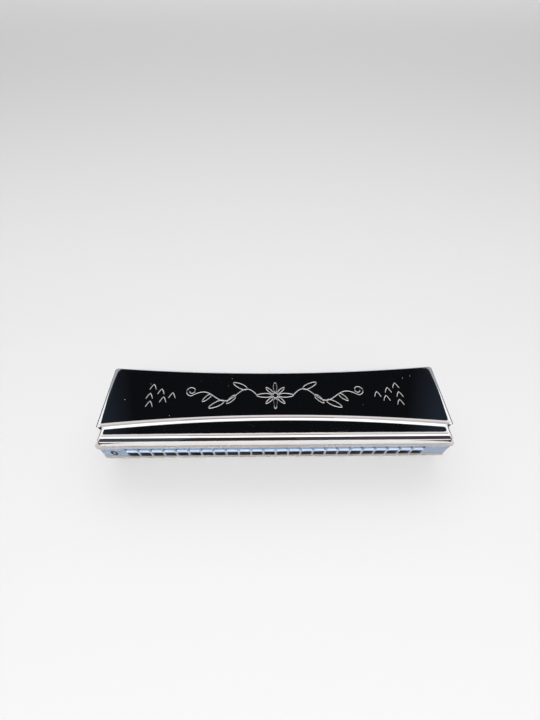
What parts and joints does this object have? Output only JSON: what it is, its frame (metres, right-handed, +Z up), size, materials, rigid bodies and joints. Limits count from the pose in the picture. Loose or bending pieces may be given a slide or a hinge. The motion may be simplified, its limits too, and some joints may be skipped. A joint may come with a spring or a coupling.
{
  "type": "tremolo harmonica",
  "caption": "Tremolo harmonica: twin rows of mouth cells in a plastic comb, brass reed plates with free reeds, and polished sheet covers with a round nose and a waisted back.",
  "frame": {"origin": "centre of the base of the bounding box; the instrument lies flat on its lower cover", "axes": "+X along the instrument from the bass end to the treble end, +Y from the mouth side to the back, +Z up"},
  "size_m": [0.1808, 0.045, 0.026],
  "materials": {
    "cover": "polished",
    "comb": "satin moulded",
    "plate": "rolled",
    "reed": "fine milled",
    "rivet": "peened",
    "screw": "nickel plated"
  },
  "bodies": {
    "instrument": {"comb": "comb", "upper_reed_plate": "plate", "lower_reed_plate": "plate", "upper_cover": "cover", "lower_cover": "cover", "upper_reed_pads": "reed", "lower_reed_pads": "reed", "upper_rivets": "rivet", "lower_rivets": "rivet", "upper_plate_screws": "screw", "lower_plate_screws": "screw", "cover_screws": "screw"},
    "upper_reed_01": {"upper_reed_01": "reed"},
    "lower_reed_01": {"lower_reed_01": "reed"},
    "upper_reed_02": {"upper_reed_02": "reed"},
    "lower_reed_02": {"lower_reed_02": "reed"},
    "upper_reed_03": {"upper_reed_03": "reed"},
    "lower_reed_03": {"lower_reed_03": "reed"},
    "upper_reed_04": {"upper_reed_04": "reed"},
    "lower_reed_04": {"lower_reed_04": "reed"},
    "upper_reed_05": {"upper_reed_05": "reed"},
    "lower_reed_05": {"lower_reed_05": "reed"},
    "upper_reed_06": {"upper_reed_06": "reed"},
    "lower_reed_06": {"lower_reed_06": "reed"},
    "upper_reed_07": {"upper_reed_07": "reed"},
    "lower_reed_07": {"lower_reed_07": "reed"},
    "upper_reed_08": {"upper_reed_08": "reed"},
    "lower_reed_08": {"lower_reed_08": "reed"},
    "upper_reed_09": {"upper_reed_09": "reed"},
    "lower_reed_09": {"lower_reed_09": "reed"},
    "upper_reed_10": {"upper_reed_10": "reed"},
    "lower_reed_10": {"lower_reed_10": "reed"},
    "upper_reed_11": {"upper_reed_11": "reed"},
    "lower_reed_11": {"lower_reed_11": "reed"},
    "upper_reed_12": {"upper_reed_12": "reed"},
    "lower_reed_12": {"lower_reed_12": "reed"},
    "upper_reed_13": {"upper_reed_13": "reed"},
    "lower_reed_13": {"lower_reed_13": "reed"},
    "upper_reed_14": {"upper_reed_14": "reed"},
    "lower_reed_14": {"lower_reed_14": "reed"},
    "upper_reed_15": {"upper_reed_15": "reed"},
    "lower_reed_15": {"lower_reed_15": "reed"},
    "upper_reed_16": {"upper_reed_16": "reed"},
    "lower_reed_16": {"lower_reed_16": "reed"},
    "upper_reed_17": {"upper_reed_17": "reed"},
    "lower_reed_17": {"lower_reed_17": "reed"},
    "upper_reed_18": {"upper_reed_18": "reed"},
    "lower_reed_18": {"lower_reed_18": "reed"},
    "upper_reed_19": {"upper_reed_19": "reed"},
    "lower_reed_19": {"lower_reed_19": "reed"},
    "upper_reed_20": {"upper_reed_20": "reed"},
    "lower_reed_20": {"lower_reed_20": "reed"},
    "upper_reed_21": {"upper_reed_21": "reed"},
    "lower_reed_21": {"lower_reed_21": "reed"},
    "upper_reed_22": {"upper_reed_22": "reed"},
    "lower_reed_22": {"lower_reed_22": "reed"},
    "upper_reed_23": {"upper_reed_23": "reed"},
    "lower_reed_23": {"lower_reed_23": "reed"},
    "upper_reed_24": {"upper_reed_24": "reed"},
    "lower_reed_24": {"lower_reed_24": "reed"}
  },
  "joints": [
    {"name": "upper_reed_01_flex", "type": "hinge", "parent": "instrument", "child": "upper_reed_01", "pos_m": [-0.07337, 0.0055, 0.01741], "axis": [1, 0, 0], "range_deg": [-4, 4], "stiffness_Nm_per_rad": 0.0051},
    {"name": "lower_reed_01_flex", "type": "hinge", "parent": "instrument", "child": "lower_reed_01", "pos_m": [-0.07337, 0.0055, 0.00859], "axis": [1, 0, 0], "range_deg": [-4, 4], "stiffness_Nm_per_rad": 0.0051},
    {"name": "upper_reed_02_flex", "type": "hinge", "parent": "instrument", "child": "upper_reed_02", "pos_m": [-0.06699, 0.00485, 0.01869], "axis": [1, 0, 0], "range_deg": [-4, 4], "stiffness_Nm_per_rad": 0.00469},
    {"name": "lower_reed_02_flex", "type": "hinge", "parent": "instrument", "child": "lower_reed_02", "pos_m": [-0.06699, 0.00485, 0.00732], "axis": [1, 0, 0], "range_deg": [-4, 4], "stiffness_Nm_per_rad": 0.00469},
    {"name": "upper_reed_03_flex", "type": "hinge", "parent": "instrument", "child": "upper_reed_03", "pos_m": [-0.06061, 0.00421, 0.01741], "axis": [1, 0, 0], "range_deg": [-4, 4], "stiffness_Nm_per_rad": 0.00432},
    {"name": "lower_reed_03_flex", "type": "hinge", "parent": "instrument", "child": "lower_reed_03", "pos_m": [-0.06061, 0.00421, 0.00859], "axis": [1, 0, 0], "range_deg": [-4, 4], "stiffness_Nm_per_rad": 0.00432},
    {"name": "upper_reed_04_flex", "type": "hinge", "parent": "instrument", "child": "upper_reed_04", "pos_m": [-0.05423, 0.0036, 0.01869], "axis": [1, 0, 0], "range_deg": [-4, 4], "stiffness_Nm_per_rad": 0.00398},
    {"name": "lower_reed_04_flex", "type": "hinge", "parent": "instrument", "child": "lower_reed_04", "pos_m": [-0.05423, 0.0036, 0.00732], "axis": [1, 0, 0], "range_deg": [-4, 4], "stiffness_Nm_per_rad": 0.00398},
    {"name": "upper_reed_05_flex", "type": "hinge", "parent": "instrument", "child": "upper_reed_05", "pos_m": [-0.04785, 0.003, 0.01741], "axis": [1, 0, 0], "range_deg": [-4, 4], "stiffness_Nm_per_rad": 0.00366},
    {"name": "lower_reed_05_flex", "type": "hinge", "parent": "instrument", "child": "lower_reed_05", "pos_m": [-0.04785, 0.003, 0.00859], "axis": [1, 0, 0], "range_deg": [-4, 4], "stiffness_Nm_per_rad": 0.00366},
    {"name": "upper_reed_06_flex", "type": "hinge", "parent": "instrument", "child": "upper_reed_06", "pos_m": [-0.04147, 0.00242, 0.01869], "axis": [1, 0, 0], "range_deg": [-4, 4], "stiffness_Nm_per_rad": 0.00337},
    {"name": "lower_reed_06_flex", "type": "hinge", "parent": "instrument", "child": "lower_reed_06", "pos_m": [-0.04147, 0.00242, 0.00732], "axis": [1, 0, 0], "range_deg": [-4, 4], "stiffness_Nm_per_rad": 0.00337},
    {"name": "upper_reed_07_flex", "type": "hinge", "parent": "instrument", "child": "upper_reed_07", "pos_m": [-0.03509, 0.00186, 0.01741], "axis": [1, 0, 0], "range_deg": [-4, 4], "stiffness_Nm_per_rad": 0.0031},
    {"name": "lower_reed_07_flex", "type": "hinge", "parent": "instrument", "child": "lower_reed_07", "pos_m": [-0.03509, 0.00186, 0.00859], "axis": [1, 0, 0], "range_deg": [-4, 4], "stiffness_Nm_per_rad": 0.0031},
    {"name": "upper_reed_08_flex", "type": "hinge", "parent": "instrument", "child": "upper_reed_08", "pos_m": [-0.02871, 0.00132, 0.01869], "axis": [1, 0, 0], "range_deg": [-4, 4], "stiffness_Nm_per_rad": 0.00286},
    {"name": "lower_reed_08_flex", "type": "hinge", "parent": "instrument", "child": "lower_reed_08", "pos_m": [-0.02871, 0.00132, 0.00732], "axis": [1, 0, 0], "range_deg": [-4, 4], "stiffness_Nm_per_rad": 0.00286},
    {"name": "upper_reed_09_flex", "type": "hinge", "parent": "instrument", "child": "upper_reed_09", "pos_m": [-0.02233, 0.00079, 0.01741], "axis": [1, 0, 0], "range_deg": [-4, 4], "stiffness_Nm_per_rad": 0.0017},
    {"name": "lower_reed_09_flex", "type": "hinge", "parent": "instrument", "child": "lower_reed_09", "pos_m": [-0.02233, 0.00079, 0.00859], "axis": [1, 0, 0], "range_deg": [-4, 4], "stiffness_Nm_per_rad": 0.0017},
    {"name": "upper_reed_10_flex", "type": "hinge", "parent": "instrument", "child": "upper_reed_10", "pos_m": [-0.01595, 0.00027, 0.01869], "axis": [1, 0, 0], "range_deg": [-4, 4], "stiffness_Nm_per_rad": 0.00156},
    {"name": "lower_reed_10_flex", "type": "hinge", "parent": "instrument", "child": "lower_reed_10", "pos_m": [-0.01595, 0.00027, 0.00732], "axis": [1, 0, 0], "range_deg": [-4, 4], "stiffness_Nm_per_rad": 0.00156},
    {"name": "upper_reed_11_flex", "type": "hinge", "parent": "instrument", "child": "upper_reed_11", "pos_m": [-0.00957, -0.00022, 0.01741], "axis": [1, 0, 0], "range_deg": [-4, 4], "stiffness_Nm_per_rad": 0.00142},
    {"name": "lower_reed_11_flex", "type": "hinge", "parent": "instrument", "child": "lower_reed_11", "pos_m": [-0.00957, -0.00022, 0.00859], "axis": [1, 0, 0], "range_deg": [-4, 4], "stiffness_Nm_per_rad": 0.00142},
    {"name": "upper_reed_12_flex", "type": "hinge", "parent": "instrument", "child": "upper_reed_12", "pos_m": [-0.00319, -0.00071, 0.01869], "axis": [1, 0, 0], "range_deg": [-4, 4], "stiffness_Nm_per_rad": 0.0013},
    {"name": "lower_reed_12_flex", "type": "hinge", "parent": "instrument", "child": "lower_reed_12", "pos_m": [-0.00319, -0.00071, 0.00732], "axis": [1, 0, 0], "range_deg": [-4, 4], "stiffness_Nm_per_rad": 0.0013},
    {"name": "upper_reed_13_flex", "type": "hinge", "parent": "instrument", "child": "upper_reed_13", "pos_m": [0.00319, -0.00118, 0.01741], "axis": [1, 0, 0], "range_deg": [-4, 4], "stiffness_Nm_per_rad": 0.00119},
    {"name": "lower_reed_13_flex", "type": "hinge", "parent": "instrument", "child": "lower_reed_13", "pos_m": [0.00319, -0.00118, 0.00859], "axis": [1, 0, 0], "range_deg": [-4, 4], "stiffness_Nm_per_rad": 0.00119},
    {"name": "upper_reed_14_flex", "type": "hinge", "parent": "instrument", "child": "upper_reed_14", "pos_m": [0.00957, -0.00163, 0.01869], "axis": [1, 0, 0], "range_deg": [-4, 4], "stiffness_Nm_per_rad": 0.00108},
    {"name": "lower_reed_14_flex", "type": "hinge", "parent": "instrument", "child": "lower_reed_14", "pos_m": [0.00957, -0.00163, 0.00732], "axis": [1, 0, 0], "range_deg": [-4, 4], "stiffness_Nm_per_rad": 0.00108},
    {"name": "upper_reed_15_flex", "type": "hinge", "parent": "instrument", "child": "upper_reed_15", "pos_m": [0.01595, -0.00207, 0.01741], "axis": [1, 0, 0], "range_deg": [-4, 4], "stiffness_Nm_per_rad": 0.000991},
    {"name": "lower_reed_15_flex", "type": "hinge", "parent": "instrument", "child": "lower_reed_15", "pos_m": [0.01595, -0.00207, 0.00859], "axis": [1, 0, 0], "range_deg": [-4, 4], "stiffness_Nm_per_rad": 0.000991},
    {"name": "upper_reed_16_flex", "type": "hinge", "parent": "instrument", "child": "upper_reed_16", "pos_m": [0.02233, -0.0025, 0.01869], "axis": [1, 0, 0], "range_deg": [-4, 4], "stiffness_Nm_per_rad": 0.000905},
    {"name": "lower_reed_16_flex", "type": "hinge", "parent": "instrument", "child": "lower_reed_16", "pos_m": [0.02233, -0.0025, 0.00732], "axis": [1, 0, 0], "range_deg": [-4, 4], "stiffness_Nm_per_rad": 0.000905},
    {"name": "upper_reed_17_flex", "type": "hinge", "parent": "instrument", "child": "upper_reed_17", "pos_m": [0.02871, -0.00292, 0.01741], "axis": [1, 0, 0], "range_deg": [-4, 4], "stiffness_Nm_per_rad": 0.000827},
    {"name": "lower_reed_17_flex", "type": "hinge", "parent": "instrument", "child": "lower_reed_17", "pos_m": [0.02871, -0.00292, 0.00859], "axis": [1, 0, 0], "range_deg": [-4, 4], "stiffness_Nm_per_rad": 0.000827},
    {"name": "upper_reed_18_flex", "type": "hinge", "parent": "instrument", "child": "upper_reed_18", "pos_m": [0.03509, -0.00332, 0.01869], "axis": [1, 0, 0], "range_deg": [-4, 4], "stiffness_Nm_per_rad": 0.000755},
    {"name": "lower_reed_18_flex", "type": "hinge", "parent": "instrument", "child": "lower_reed_18", "pos_m": [0.03509, -0.00332, 0.00732], "axis": [1, 0, 0], "range_deg": [-4, 4], "stiffness_Nm_per_rad": 0.000755},
    {"name": "upper_reed_19_flex", "type": "hinge", "parent": "instrument", "child": "upper_reed_19", "pos_m": [0.04147, -0.00371, 0.01741], "axis": [1, 0, 0], "range_deg": [-4, 4], "stiffness_Nm_per_rad": 0.00069},
    {"name": "lower_reed_19_flex", "type": "hinge", "parent": "instrument", "child": "lower_reed_19", "pos_m": [0.04147, -0.00371, 0.00859], "axis": [1, 0, 0], "range_deg": [-4, 4], "stiffness_Nm_per_rad": 0.00069},
    {"name": "upper_reed_20_flex", "type": "hinge", "parent": "instrument", "child": "upper_reed_20", "pos_m": [0.04785, -0.00409, 0.01869], "axis": [1, 0, 0], "range_deg": [-4, 4], "stiffness_Nm_per_rad": 0.00063},
    {"name": "lower_reed_20_flex", "type": "hinge", "parent": "instrument", "child": "lower_reed_20", "pos_m": [0.04785, -0.00409, 0.00732], "axis": [1, 0, 0], "range_deg": [-4, 4], "stiffness_Nm_per_rad": 0.00063},
    {"name": "upper_reed_21_flex", "type": "hinge", "parent": "instrument", "child": "upper_reed_21", "pos_m": [0.05423, -0.00446, 0.01741], "axis": [1, 0, 0], "range_deg": [-4, 4], "stiffness_Nm_per_rad": 0.000576},
    {"name": "lower_reed_21_flex", "type": "hinge", "parent": "instrument", "child": "lower_reed_21", "pos_m": [0.05423, -0.00446, 0.00859], "axis": [1, 0, 0], "range_deg": [-4, 4], "stiffness_Nm_per_rad": 0.000576},
    {"name": "upper_reed_22_flex", "type": "hinge", "parent": "instrument", "child": "upper_reed_22", "pos_m": [0.06061, -0.00482, 0.01869], "axis": [1, 0, 0], "range_deg": [-4, 4], "stiffness_Nm_per_rad": 0.000526},
    {"name": "lower_reed_22_flex", "type": "hinge", "parent": "instrument", "child": "lower_reed_22", "pos_m": [0.06061, -0.00482, 0.00732], "axis": [1, 0, 0], "range_deg": [-4, 4], "stiffness_Nm_per_rad": 0.000526},
    {"name": "upper_reed_23_flex", "type": "hinge", "parent": "instrument", "child": "upper_reed_23", "pos_m": [0.06699, -0.00516, 0.01741], "axis": [1, 0, 0], "range_deg": [-4, 4], "stiffness_Nm_per_rad": 0.000481},
    {"name": "lower_reed_23_flex", "type": "hinge", "parent": "instrument", "child": "lower_reed_23", "pos_m": [0.06699, -0.00516, 0.00859], "axis": [1, 0, 0], "range_deg": [-4, 4], "stiffness_Nm_per_rad": 0.000481},
    {"name": "upper_reed_24_flex", "type": "hinge", "parent": "instrument", "child": "upper_reed_24", "pos_m": [0.07337, -0.0055, 0.01869], "axis": [1, 0, 0], "range_deg": [-4, 4], "stiffness_Nm_per_rad": 0.000439},
    {"name": "lower_reed_24_flex", "type": "hinge", "parent": "instrument", "child": "lower_reed_24", "pos_m": [0.07337, -0.0055, 0.00732], "axis": [1, 0, 0], "range_deg": [-4, 4], "stiffness_Nm_per_rad": 0.000439}
  ],
  "couplings": [
    {"joint": "lower_reed_01_flex", "follows": "upper_reed_01_flex", "ratio": -1},
    {"joint": "lower_reed_02_flex", "follows": "upper_reed_02_flex", "ratio": -1},
    {"joint": "lower_reed_03_flex", "follows": "upper_reed_03_flex", "ratio": -1},
    {"joint": "lower_reed_04_flex", "follows": "upper_reed_04_flex", "ratio": -1},
    {"joint": "lower_reed_05_flex", "follows": "upper_reed_05_flex", "ratio": -1},
    {"joint": "lower_reed_06_flex", "follows": "upper_reed_06_flex", "ratio": -1},
    {"joint": "lower_reed_07_flex", "follows": "upper_reed_07_flex", "ratio": -1},
    {"joint": "lower_reed_08_flex", "follows": "upper_reed_08_flex", "ratio": -1},
    {"joint": "lower_reed_09_flex", "follows": "upper_reed_09_flex", "ratio": -1},
    {"joint": "lower_reed_10_flex", "follows": "upper_reed_10_flex", "ratio": -1},
    {"joint": "lower_reed_11_flex", "follows": "upper_reed_11_flex", "ratio": -1},
    {"joint": "lower_reed_12_flex", "follows": "upper_reed_12_flex", "ratio": -1},
    {"joint": "lower_reed_13_flex", "follows": "upper_reed_13_flex", "ratio": -1},
    {"joint": "lower_reed_14_flex", "follows": "upper_reed_14_flex", "ratio": -1},
    {"joint": "lower_reed_15_flex", "follows": "upper_reed_15_flex", "ratio": -1},
    {"joint": "lower_reed_16_flex", "follows": "upper_reed_16_flex", "ratio": -1},
    {"joint": "lower_reed_17_flex", "follows": "upper_reed_17_flex", "ratio": -1},
    {"joint": "lower_reed_18_flex", "follows": "upper_reed_18_flex", "ratio": -1},
    {"joint": "lower_reed_19_flex", "follows": "upper_reed_19_flex", "ratio": -1},
    {"joint": "lower_reed_20_flex", "follows": "upper_reed_20_flex", "ratio": -1},
    {"joint": "lower_reed_21_flex", "follows": "upper_reed_21_flex", "ratio": -1},
    {"joint": "lower_reed_22_flex", "follows": "upper_reed_22_flex", "ratio": -1},
    {"joint": "lower_reed_23_flex", "follows": "upper_reed_23_flex", "ratio": -1},
    {"joint": "lower_reed_24_flex", "follows": "upper_reed_24_flex", "ratio": -1}
  ]
}
